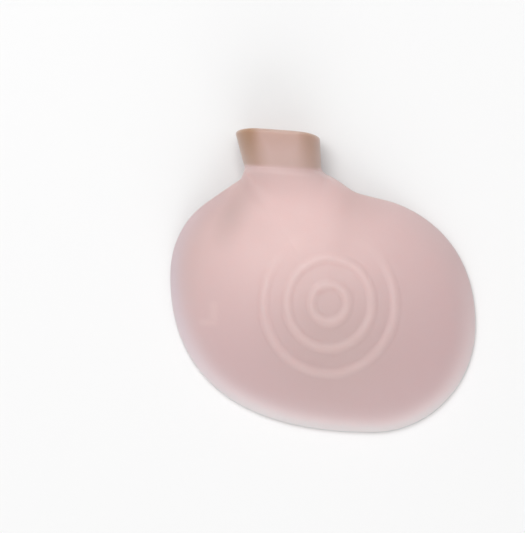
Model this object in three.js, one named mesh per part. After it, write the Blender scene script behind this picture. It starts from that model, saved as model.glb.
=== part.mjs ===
import * as THREE from "three";
import { mergeVertices } from "three/addons/utils/BufferGeometryUtils.js";

// A gel pad for the ball of the foot, moulded in one piece with its toe loop and massage ribs.
// Millimetres: +X across the foot, +Y towards the toes, +Z up. It lies with its ribs up and its hollow,
// skin side down, on its own rim and on the flat back of the toe loop.

// Pad, measured from the centre of the ribs
const PAD_WIDTH = 70;
const PAD_LENGTH = 60.8; // about from the heel edge to the foot of the loop
const PAD_THICKNESS = 4.5; // in the middle
const RIM_THICKNESS = 1.8; // across the rounded edge
const RIM_BEVEL = 6.5; // how far in from the edge the gel reaches its full thickness
const RIM_ROLL = 50; // degrees down the round of the edge at which the sole side meets it
const HOLLOW_DEPTH = 8; // skin side, under the centre of the ribs

// Toe loop
const LOOP_WIDTH = 17.6; // outside, where it leaves the pad
const LOOP_FLARE = 1.6; // how much wider it is at its toe end
const LOOP_HEIGHT = 14; // outside, where it leaves the pad
const LOOP_RISE = 0.9; // how much higher it is at its toe end
const LOOP_LENGTH = 8.8; // along the toe
const LOOP_WALL = 1.6;
const LOOP_SOLE_RADIUS = 7; // outer corners towards the sole
const LOOP_BACK_RADIUS = 5.4; // outer corners beside the flat back
const LOOP_OFFSET = -10.45; // its middle, across from the centre of the ribs
const LOOP_LEAN = -1.2; // how far its toe end leans across
const LOOP_BASE_SLANT = 3.3; // degrees that its foot is out of square
const LOOP_END_SLANT = 4.4; // degrees that its toe end is out of square
const LOOP_BOW = 0.7; // how far the sides of its toe end are drawn back
const LOOP_BOW_POWER = 5.3; // the higher this is, the squarer the toe end stays between its sides

// Neck, where the pad grows out of the loop
const NECK_JOIN = 0.22; // share of the loop's girth, each side of its middle, that runs on into the pad
const NECK_STEP = 0.9; // how far the pad stands above the loop's band
const NECK_BEVEL = 1.8; // length of that step
const NECK_TAPER = 15; // over which the neck thickens to the full pad
const NECK_FLOW = 0.6; // the lower this is, the further the neck's arch runs into the pad
const NECK_TURN_POWER = 12; // the higher this is, the nearer the edge the gel's thickness turns aside
const SHOULDER_RUN = 30; // length of edge over which each shoulder comes down to the rest plane
const SHOULDER_TWIST = 11; // length of edge over which the upright wall of the loop lies down flat

// Massage ribs
const RIB_FIELD = 15; // middle of the outer rib
const RIB_WIDTH = 1.7;
const RIB_HEIGHT = 0.55;
const RIB_STRETCH = 1.062; // how much longer the ribs are along the foot than across it
const RIB_FADE_FROM = 0.25; // sine of the bearing, up from straight across, where ribs begin to fade
const RIB_FADE_RUN = 0.55; // over which they fade
// Radius as a share of the field, and the share of its height that each rib loses towards the loop
const RIBS = [
  { name: "inner", radius: 0.27, fade: 0 },
  { name: "middle", radius: 0.646, fade: 0 },
  { name: "outer", radius: 1, fade: 0.9 },
];

// Edge of the pad, from the left of the loop round the heel to its right. Places and reaches are
// shares of the pad's width across and of its length along, and headings are degrees in those shares.
const EDGE = [
  { name: "left shoulder", across: -0.397, along: 0.381, heading: 218.4, back: 0.182, on: 0.14 },
  { name: "left", across: -0.519, along: 0.103, heading: 270, back: 0.049, on: 0.419 },
  { name: "heel", across: 0.146, along: -0.487, heading: 0, back: 0.383, on: 0.166 },
  { name: "right", across: 0.482, along: -0.081, heading: 90, back: 0.235, on: 0.339 },
  { name: "right shoulder", across: 0.189, along: 0.387, heading: 164.5, back: 0.069, on: 0.16 },
];
// How the edge leaves the loop and comes back to it: degrees, and shares of the loop's width
const NECK_LEFT = { heading: 249, reach: 0.23 };
const NECK_RIGHT = { heading: 147, reach: 0.68 };
const NECK_ALONG = 0.503; // share of the pad's length from the centre of the ribs to the loop

// Facets
const EDGE_COLUMNS = 68;
const NECK_COLUMNS = 20;
const BACK_COLUMNS = 28;
const LIP_ROWS = 4;
const BAND_ROWS = 3;
const BODY_ROWS = 4;
const BEVEL_ROWS = 5;
const HOLLOW_ROWS = 8;
const RIB_ROWS = [-1, -0.6, 0, 0.6, 1]; // across each rib, in half widths
const NEAREST_SHARE = 1 - 1e-9; // of the way to the edge, where the neck is still evened out
const WELD = 1e-5; // points nearer than this are one

const UP = new THREE.Vector3(0, 0, 1);
const lerp = THREE.MathUtils.lerp;
const radians = THREE.MathUtils.degToRad;
const ease = (share) => THREE.MathUtils.smoothstep(share, 0, 1);

// A quarter of a sine wave: steep at the edge, level where the full thickness is reached.
const crown = (share) => Math.sin((Math.PI / 2) * THREE.MathUtils.clamp(share, 0, 1));

// How far the middle of the loop's wall reaches to each side.
const loopReach = (share) => (LOOP_WIDTH + LOOP_FLARE * share - LOOP_WALL) / 2;

// The middle of the loop's wall as a closed path of x and z, from the middle of the sole side,
// clockwise as seen from the heel.
function loopPath(share) {
  const halfWall = LOOP_WALL / 2;
  const right = loopReach(share);
  const top = LOOP_HEIGHT + LOOP_RISE * share - halfWall;
  const sole = LOOP_SOLE_RADIUS - halfWall;
  const back = LOOP_BACK_RADIUS - halfWall;
  const path = new THREE.Path();
  path.moveTo(0, top);
  path.lineTo(right - sole, top);
  path.absarc(right - sole, top - sole, sole, Math.PI / 2, 0, true);
  path.lineTo(right, halfWall + back);
  path.absarc(right - back, halfWall + back, back, 0, -Math.PI / 2, true);
  path.lineTo(back - right, halfWall);
  path.absarc(back - right, halfWall + back, back, -Math.PI / 2, -Math.PI, true);
  path.lineTo(-right, top - sole);
  path.absarc(sole - right, top - sole, sole, Math.PI, Math.PI / 2, true);
  path.lineTo(0, top);
  return path;
}

// One place on the loop: the middle of its wall and the direction out of it.
function loopStation(path, share, girth) {
  const turn = girth - Math.floor(girth);
  const at = path.getPointAt(turn);
  const run = path.getTangentAt(turn);
  const slant = Math.tan(radians(lerp(LOOP_BASE_SLANT, LOOP_END_SLANT, share))) * at.x;
  const bow = LOOP_BOW * share * Math.abs(at.x / loopReach(share)) ** LOOP_BOW_POWER;
  const along = NECK_ALONG * PAD_LENGTH + (LOOP_LENGTH - LOOP_WALL / 2) * share - slant - bow;
  return {
    middle: new THREE.Vector3(LOOP_OFFSET + LOOP_LEAN * share + at.x, along, at.y),
    out: new THREE.Vector3(-run.y, 0, run.x).normalize(),
    half: LOOP_WALL / 2,
    neck: 1,
  };
}

// The loop's wall at one share of its length, as columns round its girth: from the right of the neck
// over the sole side to the left, and then round the back to where it began.
function loopRing(share) {
  const path = loopPath(share);
  const neck = Array.from({ length: NECK_COLUMNS }, (_, i) =>
    loopStation(path, share, lerp(NECK_JOIN, -NECK_JOIN, i / NECK_COLUMNS)),
  );
  const back = Array.from({ length: BACK_COLUMNS }, (_, i) =>
    loopStation(path, share, lerp(-NECK_JOIN, NECK_JOIN - 1, i / BACK_COLUMNS)),
  );
  return { neck, back };
}

// The edge in plan: cubic curves through the table's places, drawn in by half the rim's thickness.
function edgeCurve(left, right) {
  const inset = RIM_THICKNESS / 2;
  const stations = EDGE.map(({ across, along, heading, back, on }) => {
    const run = new THREE.Vector2(
      Math.cos(radians(heading)) * PAD_WIDTH,
      Math.sin(radians(heading)) * PAD_LENGTH,
    );
    const inward = new THREE.Vector2(-run.y, run.x).normalize();
    const at = new THREE.Vector2(across * PAD_WIDTH, along * PAD_LENGTH).addScaledVector(inward, inset);
    return {
      at,
      before: at.clone().addScaledVector(run, -back),
      after: at.clone().addScaledVector(run, on),
    };
  });
  const neck = (corner, { heading, reach }, sign) => {
    const at = new THREE.Vector2(corner.x, corner.y);
    const run = new THREE.Vector2(Math.cos(radians(heading)), Math.sin(radians(heading)));
    const handle = at.clone().addScaledVector(run, sign * reach * LOOP_WIDTH);
    return { at, before: handle, after: handle };
  };
  const all = [neck(left, NECK_LEFT, 1), ...stations, neck(right, NECK_RIGHT, -1)];
  const curve = new THREE.CurvePath();
  all.slice(1).forEach((next, i) => {
    curve.add(new THREE.CubicBezierCurve(all[i].at, all[i].after, next.before, next.at));
  });
  return curve;
}

// The columns of the pad's edge from the left of the neck to its right, each with the middle of the
// edge, the direction through the gel from skin to sole, and how near the neck is, from 1 to 0.
function edgeColumns(leftCorner, rightCorner) {
  const curve = edgeCurve(leftCorner.middle, rightCorner.middle);
  const length = curve.getLength();
  const rest = RIM_THICKNESS / 2;
  return Array.from({ length: EDGE_COLUMNS }, (_, i) => {
    const share = i / EDGE_COLUMNS;
    const corner = share < 0.5 ? leftCorner : rightCorner;
    const away = Math.min(share, 1 - share) * length;
    const high = 1 - ease(away / SHOULDER_RUN);
    const upright = 1 - ease(away / SHOULDER_TWIST);
    const at = curve.getPointAt(share);
    return {
      middle: new THREE.Vector3(at.x, at.y, lerp(rest, corner.middle.z, high)),
      out: UP.clone().lerp(corner.out, upright).normalize(),
      half: lerp(rest, LOOP_WALL / 2, upright),
      neck: upright,
    };
  });
}

const moved = (column, amount) => column.middle.clone().addScaledVector(column.out, amount);

// A place on the half circle round a column's edge, from its sole side at 0 to its skin side at pi.
function lipPoint(column, angle) {
  if (angle === 0) return moved(column, column.half);
  if (angle === Math.PI) return moved(column, -column.half);
  const point = moved(column, column.half * Math.cos(angle));
  return point.addScaledVector(column.aside, column.half * Math.sin(angle));
}

// Where the sole side ends and the lip begins: on top of the wall at the neck, and down the round
// of the edge elsewhere, so that the gel rolls over the edge without a bead.
const soleRim = (column) => lipPoint(column, radians(RIM_ROLL) * (1 - column.neck));

// Gives each column of a closed row the direction out of the edge, square to its run and thickness.
function withEdgeDirections(columns) {
  return columns.map((column, i) => {
    const before = columns.at(i - 1).middle;
    const after = columns[(i + 1) % columns.length].middle;
    const steps = [column.middle.clone().sub(before), after.clone().sub(column.middle)];
    const aside = new THREE.Vector3();
    steps.forEach((step) => aside.add(step.cross(column.out).normalize()));
    return { ...column, aside: aside.normalize() };
  });
}

// The ribs' own distance from their centre: true to scale across, and drawn out along the foot.
const ribDistance = (x, y) => Math.hypot(x, y / RIB_STRETCH);

// How far the ribs stand up at a place in plan.
function ribHeight(x, y) {
  const away = ribDistance(x, y);
  const towardsLoop = away > 0 ? ease((y / away - RIB_FADE_FROM) / RIB_FADE_RUN) : 0;
  return RIBS.reduce((sum, { radius, fade }) => {
    const off = (away - radius * RIB_FIELD) / (RIB_WIDTH / 2);
    const bump = Math.abs(off) < 1 ? Math.cos((Math.PI / 2) * off) : 0;
    return sum + RIB_HEIGHT * (1 - fade * towardsLoop) * Math.sqrt(bump);
  }, 0);
}

// Distances from the centre of the ribs to the rows of the sole side, along the column to `rim`.
function soleRows(rim, bevel) {
  const reach = Math.hypot(rim.x, rim.y);
  const drawnOut = reach / ribDistance(rim.x, rim.y);
  const ribs = RIBS.flatMap(({ radius }) =>
    RIB_ROWS.map((row) => radius * RIB_FIELD + (row * RIB_WIDTH) / 2),
  );
  const betweenRibs = RIBS.slice(1).map(({ radius }, i) => ((radius + RIBS[i].radius) / 2) * RIB_FIELD);
  const inside = [0, ...ribs, ...betweenRibs].sort((a, b) => a - b).map((row) => row * drawnOut);
  const field = inside.at(-1);
  const body = Array.from({ length: BODY_ROWS }, (_, i) => lerp(field, reach - bevel, (i + 1) / BODY_ROWS));
  const round = Array.from({ length: BEVEL_ROWS }, (_, i) =>
    lerp(reach - bevel, reach, Math.sin(((Math.PI / 2) * (i + 1)) / BEVEL_ROWS)),
  );
  return [...inside, ...body, ...round];
}

// One side of the gel before it is thickened, as a function of a column and a distance from the
// centre of the ribs. Towards the middle the edge's height and its neck are evened out round the
// bearings, as a soap film over a ring is, so that no crease runs in from the corners of the loop.
function bowl(columns, rims, crownHeight) {
  const bearings = rims.map((rim) => Math.atan2(rim.y, rim.x));
  const spans = bearings.map((_, i) => {
    const next = bearings[(i + 1) % bearings.length];
    const before = bearings.at(i - 1);
    return Math.abs(Math.sin((next - before) / 2));
  });
  return (i, distance) => {
    const rim = rims[i];
    const share = distance / Math.hypot(rim.x, rim.y);
    const tension = Math.min(share, NEAREST_SHARE) ** NECK_FLOW;
    const weights = bearings.map((bearing, j) => {
      const apart = 1 - 2 * tension * Math.cos(bearing - bearings[i]) + tension * tension;
      return spans[j] / apart;
    });
    const total = weights.reduce((sum, weight) => sum + weight, 0);
    const even = (value) => weights.reduce((sum, weight, j) => sum + weight * value(j), 0) / total;
    const height = lerp(crownHeight, even((j) => rims[j].z), share * share);
    return {
      point: new THREE.Vector3(rim.x * share, rim.y * share, height),
      neck: even((j) => columns[j].neck),
    };
  };
}

// A place on the sole side: the bowl, thickened through the gel, with the ribs on it.
function solePoint({ point, neck }, column, reach, distance) {
  const inward = reach - distance;
  const full = PAD_THICKNESS - RIM_THICKNESS;
  const step = NECK_STEP * neck * crown(inward / NECK_BEVEL);
  const taper = lerp(RIM_BEVEL, NECK_TAPER, neck);
  const swell = (full - NECK_STEP * neck) * crown(inward / taper);
  const through = UP.clone().lerp(column.out, (distance / reach) ** NECK_TURN_POWER).normalize();
  point.addScaledVector(through, step + swell);
  point.z += ribHeight(point.x, point.y);
  return point;
}

// Triangles between closed rows of points. A row may be one point repeated, as at a pole.
function closedRows(rows, turned) {
  const triangles = [];
  const add = (a, b, c) => {
    if (a.equals(b) || b.equals(c) || c.equals(a)) return;
    triangles.push(...(turned ? [a, c, b] : [a, b, c]));
  };
  rows.slice(1).forEach((next, r) => {
    const row = rows[r];
    row.forEach((point, i) => {
      const j = (i + 1) % row.length;
      add(point, row[j], next[j]);
      add(point, next[j], next[i]);
    });
  });
  return triangles;
}

// The rounded lip along a closed row of columns, from where the sole side ends to the skin side.
function lipRows(columns) {
  return Array.from({ length: LIP_ROWS + 1 }, (_, r) =>
    columns.map((column) => {
      if (r === 0) return soleRim(column);
      if (r === LIP_ROWS) return lipPoint(column, Math.PI);
      return lipPoint(column, lerp(radians(RIM_ROLL) * (1 - column.neck), Math.PI, r / LIP_ROWS));
    }),
  );
}

function gelPadGeometry() {
  const rings = Array.from({ length: BAND_ROWS + 1 }, (_, i) => loopRing(i / BAND_ROWS));
  const { neck, back } = rings[0];
  const edge = edgeColumns(back[0], neck[0]);
  const openEdge = withEdgeDirections([back[0], ...edge.slice(1), neck[0], ...back.slice(1).reverse()]);
  const padColumns = [...openEdge.slice(0, EDGE_COLUMNS), ...neck];
  const bands = rings.map((ring) => [...ring.neck, ...ring.back]);

  const soleRims = padColumns.map(soleRim);
  const soleBowl = bowl(padColumns, soleRims, HOLLOW_DEPTH + RIM_THICKNESS);
  const soleGrid = padColumns.map((column, i) => {
    const reach = Math.hypot(soleRims[i].x, soleRims[i].y);
    const distances = soleRows(soleRims[i], lerp(RIM_BEVEL, NECK_BEVEL, column.neck));
    const points = distances.map((away) => solePoint(soleBowl(i, away), column, reach, away));
    return [...points.slice(0, -1), soleRims[i]];
  });
  const sole = soleGrid[0].map((_, r) => soleGrid.map((points) => points[r]));

  const skinRims = padColumns.map((column) => lipPoint(column, Math.PI));
  const skinBowl = bowl(padColumns, skinRims, HOLLOW_DEPTH);
  const skin = Array.from({ length: HOLLOW_ROWS + 1 }, (_, r) =>
    skinRims.map((rim, i) => {
      if (r === HOLLOW_ROWS) return rim;
      return skinBowl(i, (Math.hypot(rim.x, rim.y) * r) / HOLLOW_ROWS).point;
    }),
  );

  const triangles = [
    ...closedRows(sole, true),
    ...closedRows(skin, false),
    ...closedRows(lipRows(openEdge), true),
    ...closedRows(bands.map((band) => band.map((column) => moved(column, column.half))), true),
    ...closedRows(bands.map((band) => band.map((column) => moved(column, -column.half))), false),
    ...closedRows(lipRows(withEdgeDirections(bands.at(-1))), true),
  ];
  const geometry = mergeVertices(new THREE.BufferGeometry().setFromPoints(triangles), WELD);
  geometry.computeBoundingBox();
  const box = geometry.boundingBox;
  geometry.translate(-(box.min.x + box.max.x) / 2, -(box.min.y + box.max.y) / 2, -box.min.z);
  geometry.computeVertexNormals();
  return geometry;
}

const gel = new THREE.MeshStandardMaterial({ color: 0xd8bdb9, roughness: 0.5, metalness: 0 });

const metatarsalPad = new THREE.Group();
const gelPad = new THREE.Mesh(gelPadGeometry(), gel);
gelPad.name = "gel_pad";
metatarsalPad.add(gelPad);

export default metatarsalPad;
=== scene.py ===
"""A frosted gel pad for the ball of the foot, lying ribs up on a pale studio floor."""

import logging
import math
from dataclasses import dataclass, field
from enum import Enum

import bmesh
import bpy
import numpy as np
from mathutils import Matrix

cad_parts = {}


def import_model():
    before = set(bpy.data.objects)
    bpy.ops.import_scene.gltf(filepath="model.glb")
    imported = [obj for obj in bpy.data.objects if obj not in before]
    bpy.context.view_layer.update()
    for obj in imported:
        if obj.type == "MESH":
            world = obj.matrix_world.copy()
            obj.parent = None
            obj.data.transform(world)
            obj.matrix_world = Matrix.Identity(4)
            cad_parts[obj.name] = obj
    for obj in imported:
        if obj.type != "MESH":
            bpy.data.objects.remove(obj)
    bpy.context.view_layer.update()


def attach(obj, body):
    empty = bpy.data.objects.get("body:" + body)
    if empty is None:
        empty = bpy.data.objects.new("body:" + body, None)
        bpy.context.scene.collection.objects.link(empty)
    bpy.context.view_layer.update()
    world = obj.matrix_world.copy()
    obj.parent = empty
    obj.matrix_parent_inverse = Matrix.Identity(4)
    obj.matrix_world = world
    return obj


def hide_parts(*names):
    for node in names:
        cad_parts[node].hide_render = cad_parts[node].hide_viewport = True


LOG = logging.getLogger("metatarsal_pad")

MM = 0.001
NODE = "gel_pad"
BODY = "root"

# The pad's driving sizes in millimetres, without the loop
PAD_WIDTH = 70.0
PAD_LENGTH = 60.8

# The photograph's frame, the centre of the ribs and the pad's two sides, in its pixels
FRAME_WIDTH_PX = 525
FRAME_HEIGHT_PX = 533
RIBS_AT_PX = (328.5, 303.1)
PAD_LEFT_PX = 170.3
PAD_RIGHT_PX = 475.2

# The tones of the gel, each a strength from 0 to 1 at every point of its surface
# Most of them are painted light and shade.
TONES = ("light", "painted_dim_shade", "shade", "band", "flank", "painted_cool_sheen", "glow", "rib", "scuff")

# The sockets of a Mix node that mixes colours
MIX_SHARE = 0
MIX_FROM = 6
MIX_TO = 7
MIX_RESULT = 2

Array = np.ndarray
UP = np.array([0.0, 0.0, 1.0])

# Keeps a divisor from zero
TINY = 1e-6

# Points of neighbouring grids that are nearer than this are one point
WELD = 0.002 * MM

# The most of its way to the mean of its neighbours that a point goes in one round
STRONGEST_PULL = 0.5


class Side(Enum):
    """The two faces of the gel: towards the ground, with the ribs, and towards the skin."""

    SOLE = 1.0
    SKIN = -1.0


def ease(share: Array | float) -> Array:
    """Rises from 0 to 1 with level ends: 3s² - 2s³.

    Args:
        share: How far along, clipped to 0 and 1.

    Returns:
        The eased share.
    """
    clipped = np.clip(share, 0.0, 1.0)
    return clipped * clipped * (3.0 - 2.0 * clipped)


def crown(share: Array | float) -> Array:
    """A quarter of a sine wave: steep at 0 and level at 1.

    Args:
        share: How far in from the edge, clipped to 0 and 1.

    Returns:
        The share of the full height reached there.
    """
    return np.sin(0.5 * math.pi * np.clip(share, 0.0, 1.0))


def blend(start: Array | float, end: Array | float, share: Array | float) -> Array:
    """The straight mix of two values: start at 0 and end at 1.

    Args:
        start: Value at share 0.
        end: Value at share 1.
        share: The mix.

    Returns:
        start + (end - start) * share.
    """
    return start + (end - start) * share


def unit(vectors: Array) -> Array:
    """Vectors along the last axis, brought to length 1.

    Args:
        vectors: Any array of vectors.

    Returns:
        The same directions at length 1.
    """
    return vectors / np.linalg.norm(vectors, axis=-1, keepdims=True)


def towards(heading: float) -> Array:
    """The direction of a heading in plan: its cosine and sine.

    Args:
        heading: Degrees from straight across to the right, turning left.

    Returns:
        The direction, of length 1.
    """
    angle = math.radians(heading)
    return np.array([math.cos(angle), math.sin(angle)])


@dataclass
class Columns:
    """A row of places along the edge of a wall of gel.

    Each has the middle of the wall, the direction out of it from skin to sole, half its
    thickness, how near the neck it is from 0 to 1, and the direction out of its free edge.
    """

    middle: Array
    out: Array
    half: Array
    neck: Array
    aside: Array | None = None

    def face(self, side: Side) -> Array:
        """The wall's face on one side: the middle moved by half the thickness."""
        return self.middle + side.value * self.half[:, None] * self.out

    def lip(self, angle: Array) -> Array:
        """Places round the free edge by angle, from the sole side at 0 to the skin side at pi."""
        turn = self.out * np.cos(angle)[:, None] + self.aside * np.sin(angle)[:, None]
        return self.middle + self.half[:, None] * turn

    def part(self, keep: slice) -> "Columns":
        """Some of the columns, in order."""
        aside = None if self.aside is None else self.aside[keep]
        return Columns(self.middle[keep], self.out[keep], self.half[keep], self.neck[keep], aside)

    def then(self, others: "Columns") -> "Columns":
        """These columns followed by others.

        Args:
            others: The columns that follow, which have a direction out of their edge if these do.

        Returns:
            Both rows as one.
        """
        aside = None if self.aside is None else np.concatenate([self.aside, others.aside])
        pairs = [(self.middle, others.middle), (self.out, others.out), (self.half, others.half)]
        middle, out, half = (np.concatenate(pair) for pair in pairs)
        return Columns(middle, out, half, np.concatenate([self.neck, others.neck]), aside)

    def with_aside(self) -> "Columns":
        """The columns, as a closed row, with the direction out of their free edge.

        It is square to the run of the row and to the wall's own direction: the mean of the cross
        products of the steps before and after with that direction.

        Returns:
            The same columns with that direction.
        """
        after = np.roll(self.middle, -1, axis=0) - self.middle
        before = np.roll(after, 1, axis=0)
        aside = unit(np.cross(before, self.out)) + unit(np.cross(after, self.out))
        return Columns(self.middle, self.out, self.half, self.neck, unit(aside))


@dataclass
class ToeLoop:
    """The flared band round the toe, in millimetres from the centre of the ribs."""

    # The band's section, at its foot unless it says otherwise
    width: float = 17.6
    flare: float = 1.6
    height: float = 14.0
    rise: float = 0.9
    wall: float = 1.6
    sole_radius: float = 7.0
    back_radius: float = 5.4

    # Its place, length and lean, and the slant and bow of its toe end
    length: float = 8.8
    offset: float = -10.45
    lean: float = -1.2
    base_slant: float = 3.3
    end_slant: float = 4.4
    end_bow: float = 0.7
    end_bow_power: float = 5.3
    along: float = 0.503 * PAD_LENGTH

    # The share of its girth on each side of the middle that runs on into the pad
    join: float = 0.22

    # How finely it is divided
    neck_columns: int = 96
    back_columns: int = 132
    band_rows: int = 26

    # Its tones: shares of its length, and how dark the painted shade of its turned sides is
    tone_run: float = 0.12
    toe_run: float = 0.6
    toe_flank: float = 0.24
    flank_run: float = 1.05
    flank_run_toe: float = 0.6
    flank_right: float = 0.65
    flank_foot: float = 0.68

    def ring(self, share: float, girth: Array) -> Columns:
        """Places on the wall at one share of the loop's length.

        The section is a rounded rectangle, walked from the middle of its sole side: straight, a
        quarter round, straight down, a quarter round and straight along the back. Its direction
        turns by the two quarter rounds in turn, and the place is the sum of the walked pieces. The
        left half mirrors the right. Along the foot, the ring is slanted, and bowed back as a power
        of the share across.

        Args:
            share: Share of the loop's length, 0 at the pad and 1 at the toe end.
            girth: Shares of the girth from the middle of the sole side, positive to the right.

        Returns:
            The columns at those places.
        """
        half = self.wall / 2
        right = (self.width + self.flare * share) / 2 - half
        top = self.height + self.rise * share - half
        sole, back = self.sole_radius - half, self.back_radius - half
        side = top - half - sole - back
        quarter = 0.5 * math.pi
        round_at = right - sole
        side_at = round_at + quarter * sole
        back_at = side_at + side
        base_at = back_at + quarter * back
        around = base_at + right - back
        turn = (girth + 0.5) % 1.0 - 0.5
        walked = np.abs(turn) * 2.0 * around
        first = np.clip((walked - round_at) / sole, 0.0, quarter)
        second = np.clip((walked - back_at) / back, 0.0, quarter)
        across = np.minimum(walked, round_at) + sole * np.sin(first)
        across = across - back * (1.0 - np.cos(second))
        across = np.sign(turn) * (across - np.maximum(walked - base_at, 0.0))
        up = top - sole * (1.0 - np.cos(first)) - np.clip(walked - side_at, 0.0, side)
        up = up - back * np.sin(second)
        slant = math.tan(math.radians(blend(self.base_slant, self.end_slant, share)))
        along = self.along + (self.length - half) * share - slant * across
        along = along - self.end_bow * share * np.abs(across / right) ** self.end_bow_power
        heading = first + second
        sideways = np.sign(turn) * np.sin(heading)
        out = np.stack([sideways, 0.0 * heading, np.cos(heading)], axis=-1)
        middle = np.stack([self.offset + self.lean * share + across, along, up], axis=-1)
        return Columns(middle, out, np.full(len(girth), half), np.ones(len(girth)))

    def neck(self, share: float) -> Columns:
        """The columns that run on into the pad, from its right corner over the sole side."""
        steps = np.arange(self.neck_columns) / self.neck_columns
        return self.ring(share, blend(self.join, -self.join, steps))

    def back(self, share: float) -> Columns:
        """The other columns, from the left corner round the back to the right one."""
        steps = np.arange(self.back_columns) / self.back_columns
        return self.ring(share, blend(-self.join, self.join - 1.0, steps))

    def tones(self, ring: Columns, share: float) -> dict[str, Array]:
        """The tones of one ring: the band's own, and the painted shade of its turned sides and toe
        end.

        Args:
            ring: The ring's columns.
            share: Share of the loop's length, 0 at the pad and 1 at the toe end.

        Returns:
            The strength of each tone, from 0 to 1, by its name.
        """
        band = ease(share / self.tone_run)
        toe = self.toe_flank * ease((share - 1.0 + self.toe_run) / self.toe_run)
        across = ring.out[:, 0]
        level = blend(self.flank_foot, 1.0, ease(share))
        run = blend(self.flank_run, self.flank_run_toe, share)
        flank = level * ease(np.abs(across) / run) * ring_top(ring)
        flank = np.maximum(toe, flank * np.where(across > 0.0, self.flank_right, 1.0))
        return {"band": np.full(len(flank), band), "flank": band * flank}


def ring_top(ring: Columns) -> Array:
    """How far up the loop each column is, eased from 0 at its back to 1 at its sole side.

    Args:
        ring: The ring's columns.

    Returns:
        A share for each column.
    """
    up = ring.middle[:, 2]
    return ease((up - up.min()) / (up.max() - up.min()))


def stacked(tones: dict[str, Array], **more: Array) -> Array:
    """The tones' strengths side by side in their fixed order, 0 where one isn't given.

    Args:
        tones: Strengths by name.
        more: Further ones, which take the place of any of the same name.

    Returns:
        The strengths as places and tones.
    """
    given = {**tones, **more}
    none = np.zeros(len(next(iter(given.values()))))
    return np.column_stack([given.get(name, none) for name in TONES])


@dataclass(frozen=True)
class Patch:
    """A soft patch of a tone on the pad, with a reach along its heading and one across it."""

    tone: str
    at: tuple[float, float]
    along: float
    across: float
    heading: float = 0.0
    amount: float = 1.0

    def strength(self, x: Array, y: Array) -> Array:
        """How strong the tone is at places: a bell curve from the patch's centre.

        Args:
            x: Places across.
            y: Places along.

        Returns:
            The strength, from 0 to the patch's amount.
        """
        turn = math.radians(self.heading)
        right, up = x - self.at[0], y - self.at[1]
        along = (right * math.cos(turn) + up * math.sin(turn)) / self.along
        across = (up * math.cos(turn) - right * math.sin(turn)) / self.across
        return self.amount * np.exp(-along * along - across * across)


@dataclass(frozen=True)
class Edging:
    """A tone that gathers near the free edge, and is strongest at one bearing. The glow, the shade
    and the cool sheen are painted light and shade.

    Round the edge it is a level and a swing of the cosine, kept from 0 to 1. Inwards it fades as
    an exponential of a power of the distance over the reach: power 2 is a bell curve.
    """

    tone: str
    bearing: float
    level: float
    swing: float
    reach: float
    power: float

    def strength(self, bearing: Array, depth: Array) -> Array:
        """How strong the tone is at places.

        Args:
            bearing: Their bearings from the centre of the ribs.
            depth: Their distance in from the edge.

        Returns:
            The strength, from 0 to 1.
        """
        turned = np.cos(bearing - math.radians(self.bearing))
        round_edge = np.clip(self.level + self.swing * turned, 0.0, 1.0)
        return round_edge * np.exp(-((depth / self.reach) ** self.power))


@dataclass
class Tinting:
    """Where the gel takes on its tones, most of them painted light and shade, in millimetres
    from the centre of the ribs.

    The painted glow is strongest towards the heel, where light that came in from the toes leaves
    the gel, and the painted shade is its counterpart towards the toes. The painted cool sheen is
    at the left.
    """

    edgings: tuple[Edging, ...] = (
        # Painted glow along the edge towards the heel
        Edging("glow", 276.0, level=0.2, swing=1.0, reach=2.9, power=2.0),
        Edging("shade", 125.0, level=-0.4, swing=1.2, reach=7.0, power=1.0),
        # A painted cool sheen along the left edge
        Edging("painted_cool_sheen", 195.0, level=-0.6, swing=1.6, reach=2.6, power=2.0),
    )
    patches: tuple[Patch, ...] = (
        # A painted pool of light, towards the toes and the left
        Patch("light", (-11.0, 17.0), 40.0, 23.0),
        # Painted shade over the middle towards the heel, and on the crest below the neck
        Patch("painted_dim_shade", (1.0, -9.5), 15.0, 15.0),
        Patch("painted_dim_shade", (-11.0, 30.0), 10.0, 5.5, amount=0.65),
        Patch("shade", (-4.6, 31.2), 7.0, 2.4, heading=-8.0, amount=0.5),
        Patch("shade", (-22.0, 21.6), 9.0, 4.5, heading=246.0, amount=0.7),
        # A painted highlight on the outer rib, up and to the left
        Patch("rib", (-7.2, 13.8), 2.6, 2.2, amount=0.9),
    )

    # The faint pale hooked mark's two strips, each from left to right and from low to high
    scuff_strips: tuple[tuple[float, float, float, float], ...] = (
        (-27.1, -25.4, -3.9, 0.3),
        (-29.5, -25.5, -5.0, -3.7),
    )
    scuff_soft: float = 0.7

    def scuff(self, x: Array, y: Array) -> Array:
        """A faint lighter hooked mark: the stronger of two soft strips.

        Args:
            x: Places across.
            y: Places along.

        Returns:
            The mark's strength, from 0 to 1.
        """
        strength = np.zeros_like(x)
        for left, right, low, high in self.scuff_strips:
            across = np.minimum(x - left, right - x) / self.scuff_soft
            along = np.minimum(y - low, high - y) / self.scuff_soft
            strength = np.maximum(strength, ease(0.5 + across / 2) * ease(0.5 + along / 2))
        return strength

    def paint(self, points: Array, inward: Array, neck: Array) -> dict[str, Array]:
        """How strong each tone of the gel is at places on the pad.

        The tones of the edge fade out at the neck, where there is no free edge. The patches are
        laid over them, the stronger of each tone.

        Args:
            points: Places, as rows of coordinates.
            inward: Their distance in from the edge.
            neck: How near the neck each place's own stretch of edge is.

        Returns:
            The strength of each tone, from 0 to 1, by its name.
        """
        x, y = points[:, 0], points[:, 1]
        bearing, depth = np.arctan2(y, x), np.maximum(inward, 0.0)
        tones = {"scuff": self.scuff(x, y)}
        for edging in self.edgings:
            tones[edging.tone] = edging.strength(bearing, depth) * (1.0 - neck)
        for patch in self.patches:
            strength = patch.strength(x, y)
            tones[patch.tone] = np.maximum(tones.get(patch.tone, 0.0), strength)
        return tones


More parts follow.
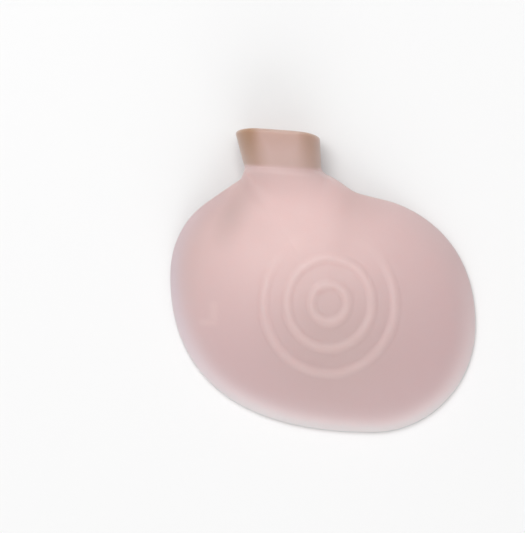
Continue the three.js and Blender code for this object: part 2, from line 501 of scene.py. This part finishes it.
@dataclass
class Ribs:
    """The massage ribs: three rings drawn out along the foot, in millimetres."""

    # The outer ring's radius, then each ring's share of it and how far it fades at the loop
    radius: float = 15.0
    rings: tuple[tuple[float, float], ...] = ((0.27, 0.0), (0.646, 0.0), (1.0, 0.9))
    stretch: float = 1.062
    width: float = 1.7
    foot: float = 0.75
    height: float = 0.3

    # The sine of the bearing, up from straight across, where the fade begins, and its run
    fade_from: float = 0.25
    fade_run: float = 0.55

    # Their tone: where its own fade begins, its gain, and how its painted light changes with the
    # bearing
    pale_from: float = 0.6
    pale_gain: float = 1.25
    lit_bearing: float = -80.0
    lit_swing: float = 0.35

    def distance(self, x: Array, y: Array) -> Array:
        """Distance from the centre of the ribs, drawn out along the foot as the ribs are."""
        return np.hypot(x, y / self.stretch)

    def mask(self, x: Array, y: Array, fade_from: float) -> Array:
        """How much of a rib's height there is at places in plan.

        Across each rib the height is a raised cosine, so that its top is round and its feet run
        out softly. The outer rib fades out towards the loop.

        Args:
            x: Places across.
            y: Places along.
            fade_from: Sine of the bearing where the outer rib begins to fade.

        Returns:
            The share of the ribs' height.
        """
        away = self.distance(x, y)
        sine = y / np.maximum(away, TINY)
        towards_loop = ease((sine - fade_from) / self.fade_run)
        total = np.zeros_like(away)
        for share, fade in self.rings:
            off = (away - share * self.radius) / (self.width / 2 + self.foot)
            bump = 0.5 + 0.5 * np.cos(math.pi * np.clip(off, -1.0, 1.0))
            total += (1.0 - fade * towards_loop) * bump
        return total

    def rise(self, x: Array, y: Array) -> Array:
        """How far the ribs stand up at places in plan."""
        return self.height * self.mask(x, y, self.fade_from)

    def pale(self, x: Array, y: Array) -> Array:
        """How strong the ribs' tone is at places in plan.

        It follows the ribs' height, levelled off near the top: the gel is paler where it is
        thicker.
        Painted light falls aslant of the rings, so it is strongest at one bearing, towards the
        heel: 1 there, and less away from it with the cosine.

        Args:
            x: Places across.
            y: Places along.

        Returns:
            The strength, from 0 to 1.
        """
        bearing = np.arctan2(y, x) - math.radians(self.lit_bearing)
        lit = 1.0 - self.lit_swing * (1.0 - np.cos(bearing))
        return ease(self.pale_gain * self.mask(x, y, self.pale_from)) * lit


@dataclass
class EdgePlace:
    """One place that the pad's edge passes, as shares of its width and length.

    It has a heading there in degrees, and the reach of the curve back and on from it.
    """

    across: float
    along: float
    heading: float
    back: float
    on: float


@dataclass
class Mesh:
    """Grids of points gathered into one closed body, with a value of each mask at each point."""

    points: list[Array] = field(default_factory=list)
    faces: list[Array] = field(default_factory=list)
    masks: list[Array] = field(default_factory=list)
    count: int = 0

    def add(self, rows: Array, masks: Array, turned: bool) -> None:
        """Adds a grid whose rows are closed, as quads between each row and the next.

        Args:
            rows: Points as rows, columns and coordinates.
            masks: Mask values as rows, columns and masks.
            turned: Whether the faces are turned over, so that they look out of the gel.
        """
        height, width = rows.shape[:2]
        index = np.arange(height * width).reshape(height, width) + self.count
        here, beside = index[:-1], np.roll(index, -1, axis=1)[:-1]
        above, corner = index[1:], np.roll(index, -1, axis=1)[1:]
        quads = np.stack([here, beside, corner, above], axis=-1).reshape(-1, 4)
        self.faces.append(quads[:, ::-1] if turned else quads)
        self.points.append(rows.reshape(-1, 3))
        self.masks.append(masks.reshape(height * width, -1))
        self.count += height * width


@dataclass
class GelPad:
    """The whole moulding: pad, neck, toe loop and massage ribs, in millimetres."""

    # The pad, its rim and the hollow on its skin side
    width: float = PAD_WIDTH
    length: float = PAD_LENGTH
    thickness: float = 4.5
    rim_thickness: float = 1.8
    rim_bevel: float = 6.5
    rim_roll: float = 50.0
    hollow_depth: float = 8.0

    # The neck, and the lengths of edge over which the shoulders come down and lie flat
    neck_step: float = 0.9
    neck_bevel: float = 1.8
    neck_taper: float = 15.0
    neck_flow: float = 0.6
    neck_turn_power: float = 12.0
    shoulder_run: float = 30.0
    shoulder_twist: float = 11.0

    # The outline: its places from the left of the loop round the heel, and how the edge leaves
    # the loop and comes back to it, as a heading in degrees and a reach in loop widths
    edge: tuple[EdgePlace, ...] = (
        EdgePlace(-0.397, 0.381, 218.4, 0.182, 0.14),
        EdgePlace(-0.519, 0.103, 270.0, 0.049, 0.419),
        EdgePlace(0.146, -0.487, 0.0, 0.383, 0.166),
        EdgePlace(0.482, -0.081, 90.0, 0.235, 0.339),
        EdgePlace(0.189, 0.387, 164.5, 0.069, 0.16),
    )
    neck_left: tuple[float, float] = (249.0, 0.23)
    neck_right: tuple[float, float] = (147.0, 0.68)

    # How finely it is divided
    curve_steps: int = 400
    edge_columns: int = 312
    rib_rows: int = 92
    body_rows: int = 18
    bevel_rows: int = 18
    hollow_rows: int = 44
    lip_rows: int = 12

    # The fillets at the two corners of the loop: their reach, and how often they are evened
    corner_reach: float = 3.2
    corner_rounds: int = 80

    loop: ToeLoop = field(default_factory=ToeLoop)
    ribs: Ribs = field(default_factory=Ribs)
    tinting: Tinting = field(default_factory=Tinting)

    def edge_curve(self, left: Array, right: Array) -> tuple[Array, Array]:
        """The middle of the pad's edge in plan, from the left of the loop round the heel.

        Cubic curves join the places, each leaving and reaching a place along its heading. They are
        drawn in by half the rim's thickness, so that the rounded edge reaches the places.

        Args:
            left: Where the edge leaves the loop.
            right: Where the edge comes back to it.

        Returns:
            Places at even steps along the edge, and how far along it each lies.
        """
        inset = self.rim_thickness / 2
        size = np.array([self.width, self.length])
        heading, reach = self.neck_left
        handles = [(left, left, left + reach * self.loop.width * towards(heading))]
        for place in self.edge:
            run = towards(place.heading) * size
            inward = np.array([-run[1], run[0]]) / np.linalg.norm(run)
            at = np.array([place.across, place.along]) * size + inset * inward
            handles.append((at - place.back * run, at, at + place.on * run))
        heading, reach = self.neck_right
        handles.append((right - reach * self.loop.width * towards(heading), right, right))
        t = np.linspace(0.0, 1.0, self.curve_steps)[:, None]
        weights = ((1 - t) ** 3, 3 * (1 - t) ** 2 * t, 3 * (1 - t) * t**2, t**3)
        pieces = [
            weights[0] * a[1] + weights[1] * a[2] + weights[2] * b[0] + weights[3] * b[1]
            for a, b in zip(handles[:-1], handles[1:])
        ]
        walk = np.concatenate(pieces)
        strides = np.linalg.norm(np.diff(walk, axis=0), axis=1)
        lengths = np.concatenate([[0.0], np.cumsum(strides)])
        steps = np.arange(self.edge_columns) / self.edge_columns * lengths[-1]
        even = np.stack([np.interp(steps, lengths, walk[:, i]) for i in (0, 1)], axis=-1)
        return even, steps

    def edge_of_pad(self, left: Columns, right: Columns) -> Columns:
        """The columns of the pad's edge.

        Away from the loop each comes down to the rest plane and lies down flat, both eased over
        their own length of edge.

        Args:
            left: The loop's column at the left corner.
            right: The loop's column at the right corner.

        Returns:
            The edge's columns, from the left corner round the heel.
        """
        plan, walked = self.edge_curve(left.middle[0, :2], right.middle[0, :2])
        total = walked[-1] + (walked[1] - walked[0])
        near_left = (walked < total / 2)[:, None]
        corner = np.where(near_left, left.middle, right.middle)
        corner_out = np.where(near_left, left.out, right.out)
        away = np.minimum(walked, total - walked)
        high = 1.0 - ease(away / self.shoulder_run)
        upright = 1.0 - ease(away / self.shoulder_twist)
        rest = self.rim_thickness / 2
        level = blend(rest, corner[:, 2], high)
        out = unit(blend(UP, corner_out, upright[:, None]))
        half = blend(rest, self.loop.wall / 2, upright)
        return Columns(np.column_stack([plan, level]), out, half, upright)

    def film(self, rims: Array, values: Array, share: Array) -> Array:
        """Values of the edge, evened out round the bearings as a soap film over a ring is.

        The weight of each column falls off with its bearing by the Poisson kernel,
        span / ((1 - t)² + 4 t sin²(apart / 2)), where t is the share of the way to the edge, to
        the power of the neck's flow.

        Args:
            rims: The edge's points.
            values: Values of the edge, as columns and kinds of value.
            share: How far out to the edge, one for each column.

        Returns:
            The evened values, as columns and kinds of value.
        """
        bearings = np.arctan2(rims[:, 1], rims[:, 0])
        spans = np.abs(np.sin((np.roll(bearings, -1) - np.roll(bearings, 1)) / 2))
        tension = np.minimum(share, 1.0 - TINY)[:, None] ** self.neck_flow
        apart = np.sin((bearings[:, None] - bearings[None, :]) / 2)
        weights = spans[None, :] / ((1.0 - tension) ** 2 + 4.0 * tension * apart**2)
        return weights @ values / weights.sum(axis=1, keepdims=True)

    def bowl(self, rims: Array, neck: Array, height: float, away: Array) -> tuple[Array, Array]:
        """One row of one side of the gel before it is thickened.

        Each column is radial, with a parabola from the crown's height in the middle to the edge's
        evened height.

        Args:
            rims: The edge's points.
            neck: How near the neck each column is.
            height: The height of the crown.
            away: Distance of the row from the centre of the ribs, one for each column.

        Returns:
            The row's points, and how near the neck each is.
        """
        share = away / np.hypot(rims[:, 0], rims[:, 1])
        even = self.film(rims, np.column_stack([rims[:, 2], neck]), share)
        level = blend(height, even[:, 0], share * share)
        return np.column_stack([rims[:, 0] * share, rims[:, 1] * share, level]), even[:, 1]

    def sole_rows(self, columns: Columns, rims: Array) -> tuple[Array, Array]:
        """The sole side: the bowl thickened through the gel, with the ribs and their tone on it.

        Rows lie evenly across the ribs, then out to the bevel, and closer together down its round.
        The thickness is the rim's, plus a quarter of a sine wave in from the edge, which is longer
        at the neck, where a step of its own is added.

        Args:
            columns: The pad's columns.
            rims: Where the sole side ends in each column.

        Returns:
            The points as rows and columns, and the tones' strengths there.
        """
        reach = np.hypot(rims[:, 0], rims[:, 1])
        drawn = reach / self.ribs.distance(rims[:, 0], rims[:, 1])
        inner = (self.ribs.radius + self.ribs.width) * drawn
        bevel = blend(self.rim_bevel, self.neck_bevel, columns.neck)
        distances = [inner * i / self.rib_rows for i in range(self.rib_rows)]
        body = np.arange(self.body_rows) / self.body_rows
        distances += [blend(inner, reach - bevel, share) for share in body]
        down = np.sin(0.5 * math.pi * np.arange(self.bevel_rows + 1) / self.bevel_rows)
        distances += [blend(reach - bevel, reach, share) for share in down]
        rows, masks = [], []
        full = self.thickness - self.rim_thickness
        height = self.hollow_depth + self.rim_thickness
        for away in distances:
            points, neck = self.bowl(rims, columns.neck, height, away)
            inward = reach - away
            step = self.neck_step * neck * crown(inward / self.neck_bevel)
            taper = blend(self.rim_bevel, self.neck_taper, neck)
            swell = (full - self.neck_step * neck) * crown(inward / taper)
            turn = ((away / reach) ** self.neck_turn_power)[:, None]
            through = blend(UP, columns.out, turn)
            points = points + unit(through) * (step + swell)[:, None]
            x, y = points[:, 0], points[:, 1]
            points[:, 2] += self.ribs.rise(x, y)
            rows.append(points)
            tones = self.tinting.paint(points, inward, columns.neck)
            tones["rib"] = np.maximum(tones["rib"], self.ribs.pale(x, y))
            masks.append(stacked(tones))
        rows[-1] = rims
        return np.array(rows), np.array(masks)

    def skin_rows(self, columns: Columns) -> tuple[Array, Array]:
        """The skin side: the smooth hollow.

        Args:
            columns: The pad's columns.

        Returns:
            The points as rows and columns, and the tones' strengths there.
        """
        rims = columns.face(Side.SKIN)
        reach = np.hypot(rims[:, 0], rims[:, 1])
        rows, masks = [], []
        for i in range(self.hollow_rows + 1):
            away = reach * i / self.hollow_rows
            points, neck = self.bowl(rims, columns.neck, self.hollow_depth, away)
            rows.append(points)
            tones = self.tinting.paint(points, reach - away, columns.neck)
            masks.append(stacked(tones, scuff=0.0 * neck, rib=0.0 * neck))
        rows[-1] = rims
        return np.array(rows), np.array(masks)

    def lip_rows_of(self, columns: Columns, own: dict[str, Array]) -> tuple[Array, Array]:
        """The rounded lip along a closed row, from where the sole side ends to the skin side.

        Args:
            columns: The closed row.
            own: The strength of each tone that the row has besides the pad's.

        Returns:
            The points as rows and columns, and the tones' strengths there.
        """
        start = math.radians(self.rim_roll) * (1.0 - columns.neck)
        shares = np.arange(self.lip_rows + 1) / self.lip_rows
        rows = np.array([columns.lip(blend(start, math.pi, share)) for share in shares])
        tones = self.tinting.paint(columns.middle, 0.0 * start, columns.neck)
        mask = stacked(tones, **own)
        return rows, np.repeat(mask[None], len(rows), axis=0)

    def band_rows_of(self, rings: list[Columns], side: Side) -> tuple[Array, Array]:
        """One face of the loop's band.

        Args:
            rings: The loop's closed rows, from the pad to the toe end.
            side: Which face.

        Returns:
            The points as rows and columns, and the tones' strengths there.
        """
        rows = np.array([ring.face(side) for ring in rings])
        masks = []
        for ring, share in zip(rings, np.linspace(0.0, 1.0, len(rings))):
            tones = self.tinting.paint(ring.middle, 0.0 * ring.neck, ring.neck)
            masks.append(stacked(tones, **self.loop.tones(ring, share)))
        return rows, np.array(masks)

    def corners(self) -> tuple[Columns, Columns]:
        """The loop's columns at the left and right ends of the neck."""
        return self.loop.back(0.0).part(slice(0, 1)), self.loop.neck(0.0).part(slice(0, 1))

    def gather(self) -> Mesh:
        """All the faces of the moulding, in millimetres from the centre of the ribs.

        Returns:
            The sole side, the skin side, the lip of the open edge, the two faces of the loop's
            band and the lip of its toe end, as one body.
        """
        loop = self.loop
        shares = np.arange(loop.band_rows + 1) / loop.band_rows
        neck, back = loop.neck(0.0), loop.back(0.0)
        left, right = self.corners()
        edge = self.edge_of_pad(left, right)
        open_edge = left.then(edge.part(slice(1, None))).then(right)
        open_edge = open_edge.then(back.part(slice(None, 0, -1))).with_aside()
        pad_edge = open_edge.part(slice(0, self.edge_columns))
        neck.aside = np.zeros_like(neck.middle)
        pad = pad_edge.then(neck)
        roll = math.radians(self.rim_roll) * (1.0 - pad.neck)
        rims = pad.lip(roll)
        rings = [loop.neck(share).then(loop.back(share)) for share in shares]
        mesh = Mesh()
        mesh.add(*self.sole_rows(pad, rims), turned=True)
        mesh.add(*self.skin_rows(pad), turned=False)
        mesh.add(*self.lip_rows_of(open_edge, {}), turned=True)
        mesh.add(*self.band_rows_of(rings, Side.SOLE), turned=True)
        mesh.add(*self.band_rows_of(rings, Side.SKIN), turned=False)
        toe = rings[-1].with_aside()
        mesh.add(*self.lip_rows_of(toe, loop.tones(toe, 1.0)), turned=True)
        return mesh

    def build(self) -> tuple[bpy.types.Object, Array]:
        """Makes the moulding's object, in metres, in the frame's place.

        Returns:
            The object, and where the centre of the ribs lies in the frame, in metres.
        """
        gathered = self.gather()
        points = np.concatenate(gathered.points) * MM
        low, high = points.min(axis=0), points.max(axis=0)
        shift = np.array([-(low[0] + high[0]) / 2, -(low[1] + high[1]) / 2, -low[2]])
        points = points + shift
        masks = np.concatenate(gathered.masks)
        mesh = bpy.data.meshes.new("moulded_gel_pad")
        mesh.from_pydata(points.tolist(), [], np.concatenate(gathered.faces).tolist())
        for name, values in zip(TONES, masks.T):
            layer = mesh.attributes.new(name, "FLOAT", "POINT")
            layer.data.foreach_set("value", values.astype(np.float32))
        weld(mesh)
        corners = np.concatenate([corner.middle for corner in self.corners()]) * MM + shift
        relax(mesh, corners, self.corner_reach * MM, self.corner_rounds)
        piece = bpy.data.objects.new("moulded_gel_pad", mesh)
        put_in_scene(piece)
        mesh.polygons.foreach_set("use_smooth", np.ones(len(mesh.polygons), dtype=bool))
        return piece, shift


def put_in_scene(item: bpy.types.Object) -> None:
    """Links an object into the scene.

    Args:
        item: The object.
    """
    bpy.context.scene.collection.objects.link(item)


def weld(mesh: bpy.types.Mesh) -> None:
    """Joins the points that grids share, and drops the faces that closed up at the poles.

    Args:
        mesh: The mesh to weld, in place.
    """
    work = bmesh.new()
    work.from_mesh(mesh)
    bmesh.ops.remove_doubles(work, verts=work.verts, dist=WELD)
    work.to_mesh(mesh)
    work.free()
    mesh.validate()


def relax(mesh: bpy.types.Mesh, centres: Array, reach: float, rounds: int) -> None:
    """Evens the surface near some places, as a moulder's fillet does.

    In each round a point moves towards the mean of its neighbours, by a share that eases from
    the strongest pull at a centre to nothing at the reach.

    Args:
        mesh: The mesh to even, in place.
        centres: The places.
        reach: How far the evening reaches from them.
        rounds: How often it is done.
    """
    points = np.empty(len(mesh.vertices) * 3)
    mesh.vertices.foreach_get("co", points)
    points = points.reshape(-1, 3)
    ends = np.empty(len(mesh.edges) * 2, dtype=np.int64)
    mesh.edges.foreach_get("vertices", ends)
    one, two = ends.reshape(-1, 2).T
    away = np.linalg.norm(points[:, None] - centres[None], axis=2).min(axis=1)
    pull = STRONGEST_PULL * ease(1.0 - away / reach)[:, None]
    near = (pull[one, 0] > 0.0) | (pull[two, 0] > 0.0)
    one, two = one[near], two[near]
    count = np.bincount(one, minlength=len(points)) + np.bincount(two, minlength=len(points))
    for _ in range(rounds):
        total = np.zeros_like(points)
        np.add.at(total, one, points[two])
        np.add.at(total, two, points[one])
        mean = total / np.maximum(count, 1)[:, None]
        points += np.where(pull > 0.0, pull * (mean - points), 0.0)
    mesh.vertices.foreach_set("co", points.ravel())
    mesh.update()


def new_material(name: str) -> tuple[bpy.types.Material, bpy.types.ShaderNode]:
    """A new material made of nodes.

    Args:
        name: The material's name.

    Returns:
        The material and its shader.
    """
    material = bpy.data.materials.new(name)
    material.use_nodes = True
    return material, material.node_tree.nodes["Principled BSDF"]


def noise(
    tree: bpy.types.NodeTree, place: bpy.types.NodeSocket, scale: float, detail: float
) -> bpy.types.NodeSocket:
    """Soft noise over a piece.

    Args:
        tree: The material's nodes.
        place: The socket that gives the place.
        scale: How fine it is.
        detail: How many finer layers it has.

    Returns:
        The socket that gives its strength.
    """
    texture = tree.nodes.new("ShaderNodeTexNoise")
    texture.inputs["Scale"].default_value = scale
    texture.inputs["Detail"].default_value = detail
    tree.links.new(place, texture.inputs["Vector"])
    return texture.outputs["Fac"]


@dataclass(frozen=True)
class Tone:
    """A tint that the gel takes on, as far as the mask of its name says, times an amount."""

    mask: str
    tint: tuple[float, float, float]
    amount: float


@dataclass(frozen=True)
class GelFinish:
    """Frosted silicone gel: milky and faintly pink, with light and shade painted into its colour;
    whitest in a painted glow at its thin edge towards the heel.
    """

    name: str = "frosted_gel"
    body: tuple[float, float, float] = (0.695, 0.515, 0.52)
    tones: tuple[Tone, ...] = (
        # A painted pool of light
        Tone("light", (0.89, 0.675, 0.655), 1.0),
        # Painted shade
        Tone("painted_dim_shade", (0.635, 0.488, 0.46), 0.5),
        Tone("shade", (0.62, 0.46, 0.435), 1.0),
        Tone("band", (0.65, 0.485, 0.44), 0.9),
        # Painted shade on the loop's turned sides and toe end
        Tone("flank", (0.42, 0.25, 0.14), 0.85),
        # Painted cool sheen
        Tone("painted_cool_sheen", (0.80, 0.68, 0.73), 0.8),
        # Painted glow
        Tone("glow", (1.0, 0.84, 0.84), 0.95),
        # The ribs' paler gel, with painted highlights
        Tone("rib", (0.98, 0.78, 0.74), 0.155),
        # A faint lighter hooked mark
        Tone("scuff", (0.95, 0.76, 0.72), 0.22),
    )

    # The light within the gel: how it bends, scatters and passes through
    index: float = 1.41
    scatter: float = 1.0
    scatter_radius: tuple[float, float, float] = (1.0, 0.9, 0.88)
    scatter_depth: float = 3.0 * MM
    clear: float = 0.25

    # The matte surface: soft clouds in its roughness, a fine grain and a sheen
    roughness: float = 0.46
    cloud_scale: float = 42.0
    cloud_detail: float = 3.0
    cloud_spread: float = 0.06
    grain_scale: float = 2600.0
    grain_detail: float = 4.0
    grain_strength: float = 0.25
    grain_depth: float = 0.06 * MM
    sheen: float = 0.3
    sheen_tint: tuple[float, float, float, float] = (1.0, 0.97, 0.98, 1.0)
    sheen_roughness: float = 0.45

    def build(self) -> bpy.types.Material:
        """Makes the material.

        Returns:
            The finished material.
        """
        material, shader = new_material(self.name)
        tree = material.node_tree
        even = {
            "IOR": self.index,
            "Subsurface Weight": self.scatter,
            "Subsurface Radius": self.scatter_radius,
            "Subsurface Scale": self.scatter_depth,
            "Transmission Weight": self.clear,
            "Sheen Weight": self.sheen,
            "Sheen Tint": self.sheen_tint,
            "Sheen Roughness": self.sheen_roughness,
        }
        for socket, value in even.items():
            shader.inputs[socket].default_value = value
        place = tree.nodes.new("ShaderNodeTexCoord").outputs["Object"]
        tree.links.new(self.tinted(tree), shader.inputs["Base Color"])
        tree.links.new(self.clouded(tree, place), shader.inputs["Roughness"])
        tree.links.new(self.grained(tree, place), shader.inputs["Normal"])
        return material

    def tinted(self, tree: bpy.types.NodeTree) -> bpy.types.NodeSocket:
        """The gel's own colour, mixed with each tone in turn by its mask times its amount. Most of
        the tones are painted light and shade.

        Args:
            tree: The material's nodes.

        Returns:
            The socket that gives the colour.
        """
        body = tree.nodes.new("ShaderNodeRGB")
        colour = body.outputs["Color"]
        colour.default_value = (*self.body, 1.0)
        for tone in self.tones:
            mask = tree.nodes.new("ShaderNodeAttribute")
            mask.attribute_name = tone.mask
            share = tree.nodes.new("ShaderNodeMath")
            share.operation = "MULTIPLY"
            share.inputs[1].default_value = tone.amount
            tree.links.new(mask.outputs["Fac"], share.inputs[0])
            mix = tree.nodes.new("ShaderNodeMix")
            mix.data_type = "RGBA"
            mix.inputs[MIX_TO].default_value = (*tone.tint, 1.0)
            tree.links.new(share.outputs["Value"], mix.inputs[MIX_SHARE])
            tree.links.new(colour, mix.inputs[MIX_FROM])
            colour = mix.outputs[MIX_RESULT]
        return colour

    def clouded(
        self, tree: bpy.types.NodeTree, place: bpy.types.NodeSocket
    ) -> bpy.types.NodeSocket:
        """A roughness that varies a little in soft clouds.

        Args:
            tree: The material's nodes.
            place: The socket that gives the place.

        Returns:
            The socket that gives the roughness.
        """
        cloud = noise(tree, place, self.cloud_scale, self.cloud_detail)
        matte = tree.nodes.new("ShaderNodeMapRange")
        matte.inputs["To Min"].default_value = self.roughness - self.cloud_spread
        matte.inputs["To Max"].default_value = self.roughness + self.cloud_spread
        tree.links.new(cloud, matte.inputs["Value"])
        return matte.outputs["Result"]

    def grained(
        self, tree: bpy.types.NodeTree, place: bpy.types.NodeSocket
    ) -> bpy.types.NodeSocket:
        """The fine matte grain of the moulded surface, as a bump.

        Args:
            tree: The material's nodes.
            place: The socket that gives the place.

        Returns:
            The socket that gives the bumped normal.
        """
        grain = noise(tree, place, self.grain_scale, self.grain_detail)
        bump = tree.nodes.new("ShaderNodeBump")
        bump.inputs["Strength"].default_value = self.grain_strength
        bump.inputs["Distance"].default_value = self.grain_depth
        tree.links.new(grain, bump.inputs["Height"])
        return bump.outputs["Normal"]


@dataclass(frozen=True)
class FloorFinish:
    """Plain pale studio paper."""

    name: str = "studio_floor"
    colour: tuple[float, float, float] = (0.84, 0.84, 0.84)
    roughness: float = 0.9

    def build(self) -> bpy.types.Material:
        """Makes the material.

        Returns:
            The finished material.
        """
        material, shader = new_material(self.name)
        shader.inputs["Base Color"].default_value = (*self.colour, 1.0)
        shader.inputs["Roughness"].default_value = self.roughness
        return material


@dataclass(frozen=True)
class Softbox:
    """A square soft light that looks at the origin: its place and side in metres, its watts."""

    name: str
    place: tuple[float, float, float]
    side: float
    power: float

    def build(self) -> None:
        """Hangs the light, tilted by its angle from straight above and turned to the origin."""
        data = bpy.data.lights.new(self.name, "AREA")
        data.shape = "SQUARE"
        data.size = self.side
        data.energy = self.power
        light = bpy.data.objects.new(self.name, data)
        across, along, up = self.place
        light.location = self.place
        tilt = math.acos(up / math.dist(self.place, (0.0, 0.0, 0.0)))
        light.rotation_euler = (tilt, 0.0, math.atan2(across, -along))
        put_in_scene(light)


@dataclass
class Studio:
    """The floor, the lights and the camera, in metres but for the sensor's millimetres."""

    softboxes: tuple[Softbox, ...] = (
        Softbox("key", (-0.2, 0.45, 1.05), side=0.8, power=9.0),
        Softbox("rim", (0.1, -1.0, 0.36), side=1.2, power=5.0),
    )
    air: float = 0.5
    air_colour: tuple[float, float, float, float] = (1.0, 1.0, 1.0, 1.0)
    floor_size: float = 6.0

    # The camera's distance above the level of the pad's edge, and the nearest that it sees
    distance: float = 0.9
    edge_level: float = 1.0 * MM
    nearest: float = 0.01
    sensor: float = 36.0

    def camera(self, centre: Array, pad_width: float) -> None:
        """Looks straight down on the ribs, with the pad where the photograph has it.

        Args:
            centre: Where the centre of the ribs lies, in metres.
            pad_width: The pad's width in metres.
        """
        per_pixel = pad_width / (PAD_RIGHT_PX - PAD_LEFT_PX)
        data = bpy.data.cameras.new("photo_camera")
        data.sensor_fit = "HORIZONTAL"
        data.sensor_width = self.sensor
        data.lens = self.sensor * self.distance / (FRAME_WIDTH_PX * per_pixel)
        data.clip_start = self.nearest
        camera = bpy.data.objects.new("photo_camera", data)
        across = centre[0] - (RIBS_AT_PX[0] - FRAME_WIDTH_PX / 2) * per_pixel
        along = centre[1] + (RIBS_AT_PX[1] - FRAME_HEIGHT_PX / 2) * per_pixel
        camera.location = (across, along, self.edge_level + self.distance)
        put_in_scene(camera)
        bpy.context.scene.camera = camera

    def floor(self) -> None:
        """Lays the floor: a square round the origin."""
        half = self.floor_size / 2
        signs = ((-1, -1), (1, -1), (1, 1), (-1, 1))
        mesh = bpy.data.meshes.new("floor")
        mesh.from_pydata([(half * x, half * y, 0.0) for x, y in signs], [], [(0, 1, 2, 3)])
        mesh.materials.append(FloorFinish().build())
        floor = bpy.data.objects.new("floor", mesh)
        put_in_scene(floor)

    def build(self, centre: Array, pad_width: float) -> None:
        """Makes the floor, the lights, the sky and the camera.

        Args:
            centre: Where the centre of the ribs lies, in metres.
            pad_width: The pad's width in metres.
        """
        self.floor()
        for softbox in self.softboxes:
            softbox.build()
        world = bpy.data.worlds.new("studio_air")
        bpy.context.scene.world = world
        world.use_nodes = True
        sky = world.node_tree.nodes["Background"]
        sky.inputs["Color"].default_value = self.air_colour
        sky.inputs["Strength"].default_value = self.air
        bpy.context.scene.view_settings.view_transform = "Standard"
        self.camera(centre, pad_width)


def main() -> None:
    """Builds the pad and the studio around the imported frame."""
    logging.basicConfig(level=logging.INFO, format="%(message)s")
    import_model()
    pad = GelPad()
    piece, centre = pad.build()
    piece.data.materials.append(GelFinish().build())
    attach(piece, BODY)
    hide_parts(NODE)
    LOG.info("%s: %d faces", piece.name, len(piece.data.polygons))
    Studio().build(centre, pad.width * MM)


if __name__ == "__main__":
    main()
